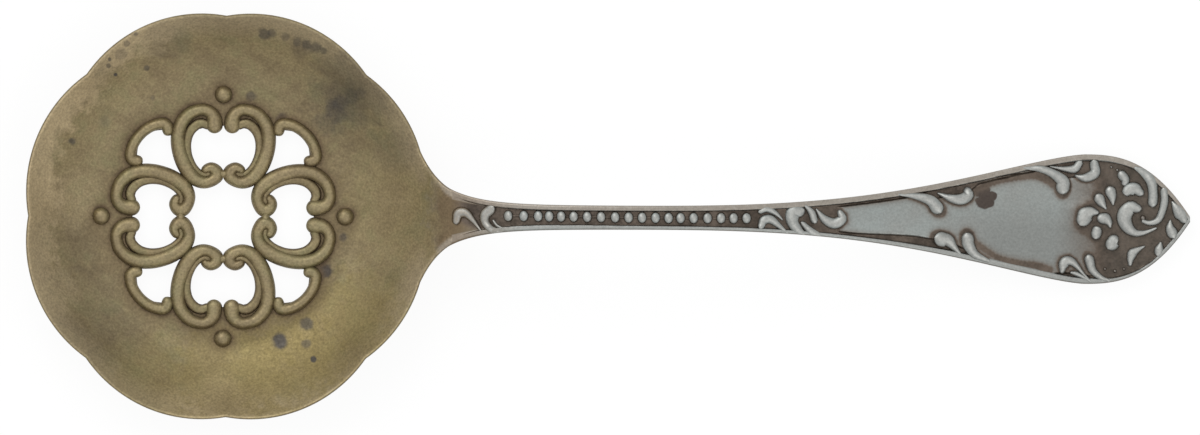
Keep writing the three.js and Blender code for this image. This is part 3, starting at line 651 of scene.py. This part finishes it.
# Handle blank: silver-plated metal, drawn out to a beaded stem and a flared, pointed end. A raised
# border runs round a sunk, blackened ground; the long panel between is left high and smooth.
ARCH = 10.6
STEM_THICK = 2.0
PANEL_THICK = 1.5
TIP_REST = TIP - 6
BORDER_STEM = 0.48
BORDER_PANEL = 0.55
BORDER_LOST_BELOW = [(0.16, JOINT + 6, NARROW + 6, 62, 76), (0.25, 85, 90, TIP - 4, TIP - 2)]
RECESS = 0.35
RECESS_DRAFT = 0.14
EDGE_ROUND = 0.22
GROOVE = 0.3
GROOVE_MORE_BELOW = [(0.55, 62, 70, 72, 75), (-0.4, 74.3, 76, 82, 84)]
GROOVE_MORE_ABOVE = [(0.6, 69.5, 71, 74, 75.5), (1.3, 82, 84, TIP, TIP + 1)]
PANEL_CROWN = 0.16
PANEL_START = 61.3
PANEL_END = 85.2
PANEL_HORN = 1.7
PANEL_FILL = 0.85
UNDER_ROUND = 0.45


def cubic_span(at, start, end, low, high, slope):
    """Cubic from one height to another that leaves with a given slope and arrives level."""
    run = end - start
    t = np.clip((at - start) / run, 0, 1)
    return (low * (2 * t ** 3 - 3 * t ** 2 + 1) + slope * run * (t ** 3 - 2 * t ** 2 + t)
            + high * (3 * t ** 2 - 2 * t ** 3))


def handle_crown(at):
    """Height of the border's top along the handle: up from the neck to the arch, down to the tip."""
    neck_top = WALL + dish_rise(np.array(JOINT), np.array(0.0))
    rising = cubic_span(at, JOINT, NARROW, neck_top, ARCH, NECK_SLOPE)
    falling = cubic_span(at, NARROW, TIP_REST, ARCH, PANEL_THICK, 0)
    return np.where(at < NARROW, rising, falling)


def along_handle(at, stretches):
    """Sum of amounts along stretches of the handle. Each is listed with the distances from the bowl's centre
    at which it begins, is full, falls and ends."""
    return sum(amount * smooth(at, begins, full) * (1 - smooth(at, falls, ends))
               for amount, begins, full, falls, ends in stretches)


def border_width(at, across):
    """Width of the raised border, growing from stem to shoulder, less what is rubbed off the lower side."""
    full = BORDER_STEM + (BORDER_PANEL - BORDER_STEM) * smooth(at, NARROW, SHOULDER)
    return full - np.where(across < 0, along_handle(at, BORDER_LOST_BELOW), 0)


def panel_share(at, across):
    """1 on the smooth panel, 0 on the sunk ground: ends behind the collar and before the tip's flower,
    reaching further on either side of it, and stops at a groove inside the border, wider along parts of both
    edges and behind the hooks of the upper leaves, and closed along part of the lower edge."""
    inside = handle_half(at) - np.abs(across) - border_width(at, across) - RECESS_DRAFT
    more = np.where(across < 0, along_handle(at, GROOVE_MORE_BELOW), along_handle(at, GROOVE_MORE_ABOVE))
    end = PANEL_END + PANEL_HORN * smooth(np.abs(across), 0.9, 2.4)
    along = smooth(at, PANEL_START - 0.3, PANEL_START + 0.5) * (1 - smooth(at, end - 2, end + 1.4))
    return along * smooth(inside - more, 0.1, GROOVE)


def handle_surface(at, across):
    """Height of the handle's upper face: rounded edge, border, drafted wall, ground and a panel crowned
    as a parabola."""
    inside = handle_half(at) - np.abs(across)
    edge = 1 - np.clip(inside / EDGE_ROUND, 0, 1)
    rounding = EDGE_ROUND * (1 - np.sqrt(np.clip(1 - edge ** 2, 0, 1)))
    border = border_width(at, across)
    sunk = RECESS * smooth(at, JOINT + 0.4, JOINT + 3) * smooth(inside, border, border + RECESS_DRAFT)
    panel = panel_share(at, across)
    crown = PANEL_CROWN * panel * (1 - (across / handle_half(at)) ** 2)
    return handle_crown(at) - rounding - sunk * (1 - PANEL_FILL * panel) + crown


station = np.concatenate([np.linspace(JOINT, SHOULDER, 420),
                          SHOULDER + TIP_LENGTH * np.sin(np.linspace(0, np.pi / 2, 100))[1:]])[:, None]
half = handle_half(station)
from_edge = (np.linspace(0, 1, 45) ** 1.6)[None, :]
top_y = np.concatenate([half * (1 - from_edge), -half * (1 - from_edge[:, -2::-1])], axis=1)
low_y = half * np.sin(np.linspace(-np.pi / 2, np.pi / 2, 25))[None, :]
thick = np.interp(station, [JOINT, NARROW, TIP_REST], [WALL + NECK_THICKENING, STEM_THICK, PANEL_THICK])
low_z = handle_crown(station) - thick + UNDER_ROUND * (low_y / half) ** 6
top_z = handle_surface(station, top_y)
handle_x = np.broadcast_to(station, (len(station), low_y.shape[1] + top_y.shape[1]))
handle_y = np.concatenate([low_y, top_y], axis=1)
handle = grid_piece("silver_handle", [np.stack([handle_x, handle_y, np.concatenate([low_z, top_z], 1)], -1)],
                    capped=True)
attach(handle, "root")
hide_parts("handle_blank")
silver_pieces = [handle]

# Beaded wire: nineteen oval beads on one thread, let into the stem's channel and soldered down. They were
# struck by eye, so their spacing wanders; the places are pixels along the photograph.
BEAD_PLACES = [508, 523.5, 538, 549, 561, 573.5, 587, 601, 615, 628.5, 642, 655.5, 668.5, 680.5, 693.5, 707.5,
               721, 733.5, 746.5]
BEAD_RADIUS = 0.49
BEAD_BREADTH = 1.22
BEAD_ABOVE = 0.85
BEAD_BELOW = 0.4
BEAD_STEPS = 32
BEAD_SEAT = 0.02
BEAD_ASIDE = 0.14
BEAD_RETURN = 0.16
THREAD = 0.1
bead_middle = (np.array(BEAD_PLACES) - CENTRE_PX) * PIXEL
bead_count = len(BEAD_PLACES) * BEAD_STEPS + 1
bead_at = np.linspace(bead_middle[0] - BEAD_RADIUS, bead_middle[-1] + BEAD_RADIUS, bead_count)
off_centre = np.abs(bead_at[:, None] - bead_middle[None, :]).min(axis=1)
girth = np.maximum(THREAD, np.sqrt(np.clip(BEAD_RADIUS ** 2 - off_centre ** 2, 0, None)))[:, None]
round_about = np.linspace(0, 2 * np.pi, 24, endpoint=False)[None, :]
bead_side = BEAD_ASIDE - BEAD_RETURN * smooth(bead_at, 28, 46)[:, None]
bead_y = bead_side + girth * BEAD_BREADTH * np.cos(round_about)
bead_up = np.where(np.sin(round_about) > 0, BEAD_ABOVE, BEAD_BELOW) * np.sin(round_about)
bead_z = handle_crown(bead_at)[:, None] - RECESS + BEAD_SEAT + girth * bead_up
bead_x = np.broadcast_to(bead_at[:, None], bead_y.shape)
beads = grid_piece("silver_beads", [np.stack([bead_x, bead_y, bead_z], -1)], capped=True)
bead_height = girth / BEAD_RADIUS * np.clip(np.sin(round_about), 0, 1)
# Beads are dark low on their sides, and their crests carry a painted highlight.
point_layer(beads, "grime_and_painted_light", 1 - 1.95 * smooth(bead_height, 0.2, 1))
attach(beads, "root")
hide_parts("beaded_wire")
silver_pieces.append(beads)

# Leaf ornament: scrolls, leaves and drops raised on the ground and along the panel's edges, each running
# from a thin tail to a round head. Courses are read off the photograph: pixel place, then half width.
LEAVES = {
    "neck_leaf": [(481, 230, 0.12), (473, 219.5, 0.3), (465.5, 212, 0.5), (458.5, 212.5, 0.6),
                  (456.5, 219, 0.48)],
    "neck_scroll": [(503, 231, 0.1), (493, 229.5, 0.36), (485.5, 222, 0.47), (485, 214, 0.58),
                    (489.5, 209.5, 0.58)],
    "neck_scroll_leaf": [(503, 227.5, 0.07), (497, 224.5, 0.17), (493.5, 220, 0.16)],
    "collar_leaf_upper": [(783, 219.5, 0.07), (775, 212, 0.3), (767, 208.3, 0.34), (760.5, 210.5, 0.27)],
    "collar_leaf_lower": [(788, 232.5, 0.07), (778.5, 224.5, 0.32), (770.5, 218.5, 0.48), (764, 219, 0.5),
                          (761.5, 224, 0.41)],
    "collar_scroll": [(806, 234.5, 0.14), (798.5, 229.5, 0.46), (792.3, 221, 0.68), (792.8, 212, 0.82),
                      (798, 210.5, 0.68)],
    "collar_sprig": [(805, 204.5, 0.14), (811, 211, 0.39), (814, 219, 0.41)],
    "collar_scroll_tail": [(826, 237, 0.12), (812, 231, 0.4), (803, 223, 0.3)],
    "collar_comma_leaf": [(815.5, 207.5, 0.09), (824, 218, 0.46), (834, 222.5, 0.59), (842, 218, 0.52),
                          (840, 212, 0.34)],
    "panel_leaf_upper_1": [(898, 193.5, 0.09), (916, 195.5, 0.38), (930, 199.5, 0.6), (936.5, 206.5, 0.72)],
    "panel_leaf_upper_2": [(937, 192, 0.11), (949, 197, 0.41), (960.5, 198.5, 0.6), (968, 194.5, 0.6),
                           (967.5, 191, 0.5)],
    "panel_leaf_lower_1": [(961, 254, 0.11), (954, 246, 0.42), (948.5, 240, 0.68), (942, 238.3, 0.8)],
    "panel_leaf_lower_2": [(990, 260.5, 0.14), (975.5, 253.5, 0.46), (968.5, 244, 0.66), (967.5, 238.5, 0.7)],
    "shoulder_scroll_upper": [(1023, 167, 0.09), (1040, 168, 0.39), (1053, 173, 0.5), (1062.5, 180.5, 0.71),
                              (1062.5, 186, 0.75)],
    "shoulder_leaf_upper_1": [(1049, 165.5, 0.1), (1063, 168, 0.3), (1074, 168, 0.47), (1078.5, 163, 0.43)],
    "shoulder_leaf_upper_2": [(1074, 174.5, 0.12), (1085, 176.8, 0.47), (1094.5, 172, 0.58),
                              (1094, 164, 0.53)],
    "shoulder_leaf_lower_1": [(1090, 279.5, 0.1), (1084, 273.5, 0.17), (1078, 266.5, 0.28),
                              (1072, 260.8, 0.45), (1066.3, 260, 0.58), (1063.3, 264, 0.56),
                              (1062.3, 269, 0.34)],
    "shoulder_leaf_lower_2": [(1110, 280, 0.12), (1101, 276.5, 0.3), (1092.5, 269, 0.46),
                              (1089.3, 259, 0.56)],
    "shoulder_sprig_lower": [(1091, 280.5, 0.12), (1084, 276.3, 0.24), (1077, 272.8, 0.27),
                             (1071.8, 271.6, 0.16)],
    "tip_petal_1": [(1123.2, 184.8, 0.26), (1125, 179, 0.5), (1122, 174.5, 0.52)],
    "tip_petal_2": [(1113.1, 204.7, 0.09), (1112, 196.5, 0.48), (1110.4, 191.2, 0.62)],
    "tip_petal_3": [(1106.5, 208.7, 0.09), (1102, 202.5, 0.46), (1099.4, 198.2, 0.59)],
    "tip_petal_4": [(1099, 212, 0.18), (1091.5, 211, 0.59), (1085.8, 213.8, 0.91), (1083.8, 217.5, 0.82)],
    "tip_petal_5": [(1110.4, 227.1, 0.11), (1109, 222, 0.41), (1105.5, 218, 0.64), (1103, 217.5, 0.62)],
    "tip_petal_6": [(1098.3, 225.5, 0.39), (1097, 229, 0.57), (1096.2, 232.5, 0.59)],
    "tip_petal_7": [(1118.5, 240.5, 0.39), (1114.5, 240, 0.73), (1112.3, 242.5, 0.75)],
    "tip_crescent": [(1124, 194, 0.38), (1128.5, 189, 0.68), (1135, 188, 0.7), (1139.2, 191, 0.5)],
    "tip_scroll": [(1157, 226.8, 0.14), (1145, 231.4, 0.27), (1135.6, 232, 0.43), (1128.2, 227, 0.66),
                   (1124.3, 218.8, 0.82), (1125.4, 211.8, 0.84), (1131.2, 206.3, 0.73),
                   (1136.5, 207.3, 0.52)],
    "tip_scroll_stem": [(1141.5, 219.6, 0.23), (1149.5, 222, 0.3), (1157.8, 219.2, 0.39),
                        (1162.2, 209.9, 0.43), (1164.4, 199.3, 0.46), (1163.8, 191, 0.43)],
    "tip_long_leaf": [(1134, 166.5, 0.14), (1144, 172, 0.46), (1151, 181, 0.57), (1153, 192, 0.55),
                      (1152.6, 201, 0.55)],
    "tip_edge_leaf_1": [(1171.5, 200, 0.12), (1177, 208, 0.58), (1181, 213.5, 0.74), (1183, 217, 0.55)],
    "tip_edge_leaf_2": [(1170.3, 218.5, 0.08), (1170, 226.5, 0.5), (1172, 231.5, 0.62)],
    "tip_edge_leaf_3": [(1161, 240.5, 0.09), (1159.5, 247, 0.48), (1158.8, 250, 0.52)],
    "tip_hook_leaf": [(1145, 245, 0.09), (1137.5, 248.8, 0.34), (1132.4, 252.5, 0.55), (1130.6, 258, 0.41),
                      (1130.2, 262.5, 0.27)],
}
LEAF_HEIGHT = 0.42
LEAF_SINK = 0.5
LEAF_HALF = 0.42
LEAF_TAIL = 0.12
LEAF_CLEAR = 0.06
HANDLE_TURN = 3 / 964
leaf_shares = dense_ends(46)
leaf_across = np.linspace(1, -1, 19)
leaf_dome = (1 - np.abs(leaf_across) ** 2.1) ** 0.52
# Leaf flanks take dirt; the crest of each leaf takes a painted highlight.
leaf_dirt_and_highlight = np.append([1, 1], 0.8 - 1.8 * leaf_dome ** 1.6)
leaf_paths = []


def read_course(places):
    """Course in millimetres from pixel places and half widths read off the photograph, where the handle lies
    turned by three pixels along its length."""
    px, py, half = np.array(places, float).T
    away = px - CENTRE_PX
    return np.stack([away * PIXEL, (CENTRE_PY + away * HANDLE_TURN - py) * PIXEL, half], axis=-1)


def leaf_seat(at, across):
    """Level under a leaf: the handle's face along its course, averaged over a quarter of its length."""
    return np.convolve(np.pad(handle_surface(at, across), 6, mode="edge"), np.ones(13) / 13, mode="valid")


for name, places in LEAVES.items():
    course = read_course(places)
    reach = course[-1, :2] - course[-2, :2]
    head = course[-1, 2]
    beyond = course[-1] + np.append(reach / np.linalg.norm(reach) * head, 0)
    line, length = through(np.vstack([course, beyond]), leaf_shares)
    tail = np.maximum(round_end(leaf_shares * length, LEAF_TAIL), 0.3)
    blunt = round_end((1 - leaf_shares) * length, head) * tail
    half = line[:, 2] * blunt
    height = LEAF_HEIGHT * np.sqrt(np.clip(line[:, 2] / LEAF_HALF, 0.12, 1.25)) * (0.35 + 0.65 * blunt)
    clear = handle_half(line[:, 0]) - np.abs(line[:, 1]) - border_width(line[:, 0], line[:, 1])
    height *= 1 - 0.9 * (1 - smooth(clear, -0.3, 0.3)) * (1 - smooth(leaf_shares, 0.45, 0.75))
    points = strip_points(line[:, :2], half, height, (leaf_across, leaf_dome), leaf_seat,
                          lambda x, y: handle_surface(x, y) - LEAF_SINK,
                          lambda x: handle_half(x) - LEAF_CLEAR)
    leaf = grid_piece("silver_" + name, [points], capped=True)
    point_layer(leaf, "grime_and_painted_light", np.tile(leaf_dirt_and_highlight, (len(line), 1)))
    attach(leaf, "root")
    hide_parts(name)
    silver_pieces.append(leaf)
    leaf_paths.append((line[:, :2], half))

# Tip dots: a few small drops punched up between the large ones round the tip's flower. They are the handle's
# own metal, too fine for the part's solids, so they stand here alone.
DOTS = [(1111, 166, 0.16), (1117, 169, 0.18), (1105, 268, 0.17), (1115, 270, 0.2), (1124, 268, 0.16),
        (1142.7, 217, 0.3)]
DOT_SINK = 0.05
drops = [drop_points(dot[:2], dot[2], dot[2], DOT_SINK, handle_surface) for dot in read_course(DOTS)]
dots = grid_piece("silver_tip_dots", drops, capped=True)
point_layer(dots, "grime_and_painted_light", np.broadcast_to(0.9 - 0.65 * rise, (len(DOTS),) + drops[0].shape[:2]))
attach(dots, "root")
silver_pieces.append(dots)

# Handle dirt and painted shade: black oxide left by the maker in the sunk ground and along the grooves, and
# round the leaves oxide deepened by a painted shade. Two drifts of oxide follow the panel's edges, part of the
# grooves is wiped clean, the border is rubbed bright, and the lower border's outer edge is darkened by a
# painted shade.
UPPER_DRIFT = [(972, 187, 0.25), (982, 184.5, 0.36), (1000, 179.3, 0.3), (1020, 175.5, 0.36),
               (1035, 174.8, 0.34), (1045, 177.8, 0.4), (1051, 182, 0.3), (1054, 187, 0.2)]
LOWER_DRIFT = [(976, 241, 0.15), (982, 246.5, 0.25), (990, 252, 0.26), (1000, 257.5, 0.26),
               (1020, 262.3, 0.27), (1035, 264.5, 0.34), (1045, 267.5, 0.34), (1052, 270, 0.34)]
DRIFT_BREADTH = 0.85
WIPED_ABOVE = [(0.5, 73.5, 76, 81, 83)]
WIPED_BELOW = [(0.8, 75.5, 77.5, 82, 84)]
HANDLE_UNDERSIDE_DIRT = 0.15
inside = handle_half(station) - np.abs(top_y)
border = border_width(station, top_y) + 0.5 * np.exp((JOINT - station) / 1.8)
begins = JOINT - 0.2 + 2.2 * (1 - smooth(top_y, -1.6, -0.2))
sunk_share = smooth(station, begins, begins + 2.6) * smooth(inside, border, border + RECESS_DRAFT)
ground = sunk_share * (1 - panel_share(station, top_y))
top_x = np.broadcast_to(station, top_y.shape)
shade = 0.45 * smooth(station, PANEL_END - 3, PANEL_END + 2) * sunk_share
# Painted shade round the leaves: inside the border, the face darkens next to each leaf's edge.
near = np.exp(-gap_to(top_x, top_y, leaf_paths) / 0.2) * sunk_share
beside_border = sunk_share * np.exp(-np.maximum(inside - border - GROOVE, 0) / 0.25) * 0.75
drift_paths = []
for places in (UPPER_DRIFT, LOWER_DRIFT):
    line = through(read_course(places), np.linspace(0, 1, 60))[0]
    drift_paths.append((line[:, :2], DRIFT_BREADTH * line[:, 2]))
drift = 0.7 * np.exp(-gap_to(top_x, top_y, drift_paths) / 0.24) * smooth(inside, border, border + 0.1)
wiped_off = np.where(top_y > 0, along_handle(station, WIPED_ABOVE), along_handle(station, WIPED_BELOW))
darkening = np.maximum(0.9 * ground, beside_border) * (1 - wiped_off)
darkening = np.maximum.reduce([darkening, drift, near, shade])
on_border = (1 - smooth(inside, border, border + 0.1)) * smooth(station, JOINT - 2, JOINT)
# The border is rubbed bright, and on the lower side its outermost edge is darkened: painted shade.
polish_and_edge_shade = (1.15 * (1 - smooth(inside, 0.08, 0.22)) * (top_y < 0) - 0.8) * on_border
warm = on_border * np.maximum(smooth(top_y, 0, 0.8), 1 - smooth(station, JOINT + 1, JOINT + 8))
for name, below, above in (("warmth", 0, warm), ("upper", 0, np.ones(top_y.shape)),
                           ("grime_and_painted_light", HANDLE_UNDERSIDE_DIRT, darkening + polish_and_edge_shade)):
    point_layer(handle, name, np.concatenate([np.full(low_y.shape, below), above], axis=1))

# Silver plate: grey, softly worn and finely pitted, blackened in every hollow and rubbed pale on every crest,
# where a painted highlight makes it paler still.
# The lower side of the panel is darker, a painted shade, and the metal is warm and brown towards the gilt
# bowl.
SILVER = (0.283, 0.308, 0.298, 1)
SILVER_WARM = (0.268, 0.276, 0.262, 1)
SILVER_PAINTED_SHADE = (0.222, 0.232, 0.221, 1)
SILVER_RUBBED = (0.325, 0.33, 0.315, 1)
SILVER_PAINTED_HIGHLIGHT = (0.425, 0.428, 0.405, 1)
SILVER_SPOT = (0.072, 0.058, 0.05, 1)
SILVER_BEIGE = (0.3, 0.255, 0.21, 1)
SILVER_BROWN = (0.138, 0.107, 0.084, 1)
OXIDE = (0.052, 0.042, 0.034, 1)
OXIDE_PALE = (0.125, 0.101, 0.082, 1)
OXIDE_GREY = (0.072, 0.068, 0.057, 1)
NECK_TONE = (30.5, 22.5)
BROAD_PANEL = (70, 77)
SHADED_SIDE = (3, -2.2)
TIP_TONE = (84, 90)
PANEL_SMUDGE = [(985.5, 197, 10.5), (982, 188, 9), (992, 193, 6)]

silver, tree, place = started_metal("worn_silver")
cloud = cloudy(tree, place, 130, 4, 0.6)
pitting = effect(tree, speckle, {"Place": place, "Scale": 2400, "Smoothest": 0.42, "Roughest": 0.56,
                                 "Strength": 0.08, "Distance": 0.00003})
mottle = cloudy(tree, place, 520, 6, 0.7)
along, sideways = add(tree, "ShaderNodeSeparateXYZ", {0: place}).outputs[:2]
tone = ranged(tree, cloud, 0.35, 0.6)
neck = ranged(tree, along, *map(from_bowl, NECK_TONE), eased=True)
# Painted shade: from the broad part of the panel on, the silver darkens towards the lower side, as if lit from
# above.
low_side_shade = ranged(tree, sideways, SHADED_SIDE[0] * MM, SHADED_SIDE[1] * MM, eased=True)
broad = ranged(tree, along, *map(from_bowl, BROAD_PANEL))
colour = mixed(tree, tone, SILVER_WARM, SILVER)
colour = mixed(tree, worked(tree, "MULTIPLY", low_side_shade, broad), colour, SILVER_PAINTED_SHADE)
colour = mixed(tree, neck, colour, NECK_BROWN)
smudge = 0
for px, py, radius in PANEL_SMUDGE:
    smudge = worked(tree, "MAXIMUM", photo_spot(tree, place, px, py, radius, 0.9), smudge)
smudge = worked(tree, "MULTIPLY", ranged(tree, smudge, 0.2, 0.55), point_share(tree, "upper"))
colour = mixed(tree, smudge, colour, SILVER_SPOT)
patchy = ranged(tree, pitting["Speck"], 0.25, 0.75, 0.8, 1.1)
soil_and_painted_light = worked(tree, "MULTIPLY", point_share(tree, "grime_and_painted_light"), patchy)
rubbed = ranged(tree, soil_and_painted_light, 0, -1)
# Painted highlight: the most rubbed points, on the crests of leaves and beads and in specks on the border, are
# lit pale.
crest = ranged(tree, soil_and_painted_light, -0.75, -1.1)
layers = effect(tree, grime_and_painted_light, {"Soil": soil_and_painted_light, "Film Begins": 0.02, "Film Full": 0.6, "Crust Begins": 0.35})
polished = mixed(tree, point_share(tree, "warmth"), SILVER_RUBBED, SILVER_BEIGE)
colour = mixed(tree, rubbed, colour, polished)
colour = mixed(tree, crest, colour, mixed(tree, neck, SILVER_PAINTED_HIGHLIGHT, NECK_PALE))
colour = mixed(tree, layers["Film"], colour, SILVER_BROWN)
blot = ranged(tree, mottle, 0.42, 0.6)
tip = ranged(tree, along, *map(from_bowl, TIP_TONE), most=0.4)
black = mixed(tree, tip, mixed(tree, blot, OXIDE, OXIDE_PALE), OXIDE_GREY)
colour = mixed(tree, layers["Crust"], colour, black)
finished_metal(silver, place, colour, 0.11, pitting, 0.9, silver_pieces)

# Table, light and camera: a white paper sheet that can't be seen from below, two soft square lamps and even
# room light. The camera looks straight down without perspective, turned a little, as the photograph is.
VIEW_WIDTH = 0.120
CAMERA_PLACE = (-0.0008, 0.00001, 0.5)
CAMERA_TURN = np.radians(0.18)
SHEET_HALF = 2
SHEET_DROP = 0.0001
SHEET_GLOW = 0.92
PAPER = (0.9, 0.9, 0.9, 1)
WHITE = (1, 1, 1, 1)
ROOM_LIGHT = 0.95
corners = [(SHEET_HALF * right, SHEET_HALF * up, 0) for right, up in ((-1, -1), (1, -1), (1, 1), (-1, 1))]
floor_mesh = bpy.data.meshes.new("white_sheet")
floor_mesh.from_pydata(corners, [], [(0, 1, 2, 3)])
floor = bpy.data.objects.new("white_sheet", floor_mesh)
bpy.context.scene.collection.objects.link(floor)
floor.location.z = -SHEET_DROP
paper = bpy.data.materials.new("white_paper")
paper.use_nodes = True
tree = paper.node_tree
matt = add(tree, "ShaderNodeBsdfDiffuse", {"Color": PAPER})
lit = add(tree, "ShaderNodeEmission", {"Color": WHITE, "Strength": 1})
ray = add(tree, "ShaderNodeLightPath")
shown = ray.outputs["Is Camera Ray"]
for kind in ("Is Glossy Ray", "Is Transmission Ray"):
    shown = worked(tree, "MAXIMUM", shown, ray.outputs[kind])
seen = worked(tree, "MULTIPLY", shown, SHEET_GLOW)
sheet = add(tree, "ShaderNodeMixShader", {0: seen, 1: matt.outputs[0], 2: lit.outputs[0]})
clear = add(tree, "ShaderNodeBsdfTransparent")
below = add(tree, "ShaderNodeNewGeometry").outputs["Backfacing"]
one_sided = add(tree, "ShaderNodeMixShader", {0: below, 1: sheet.outputs[0], 2: clear.outputs[0]})
tree.links.new(one_sided.outputs[0], tree.nodes["Material Output"].inputs["Surface"])
floor_mesh.materials.append(paper)

world = bpy.data.worlds.new("room")
world.use_nodes = True
sky = world.node_tree.nodes["Background"]
sky.inputs["Color"].default_value = WHITE
sky.inputs["Strength"].default_value = ROOM_LIGHT
bpy.context.scene.world = world


def soft_lamp(name, place, size, power):
    """A square lamp aimed at the middle of the spoon."""
    light = bpy.data.lights.new(name, "AREA")
    light.size = size
    light.energy = power
    lamp = bpy.data.objects.new(name, light)
    lamp.location = place
    lamp.rotation_euler = (-Vector(place)).to_track_quat("-Z", "Y").to_euler()
    bpy.context.scene.collection.objects.link(lamp)


soft_lamp("window_lamp", (-0.22, 0.42, 0.5), 0.4, 1.6)
soft_lamp("fill_lamp", (0.3, -0.4, 0.45), 0.5, 0.7)

camera_data = bpy.data.cameras.new("above")
camera_data.type = "ORTHO"
camera_data.ortho_scale = VIEW_WIDTH
camera = bpy.data.objects.new("above", camera_data)
camera.location = CAMERA_PLACE
camera.rotation_euler = (0, 0, CAMERA_TURN)
bpy.context.scene.collection.objects.link(camera)
bpy.context.scene.camera = camera
bpy.context.scene.view_settings.view_transform = "Standard"
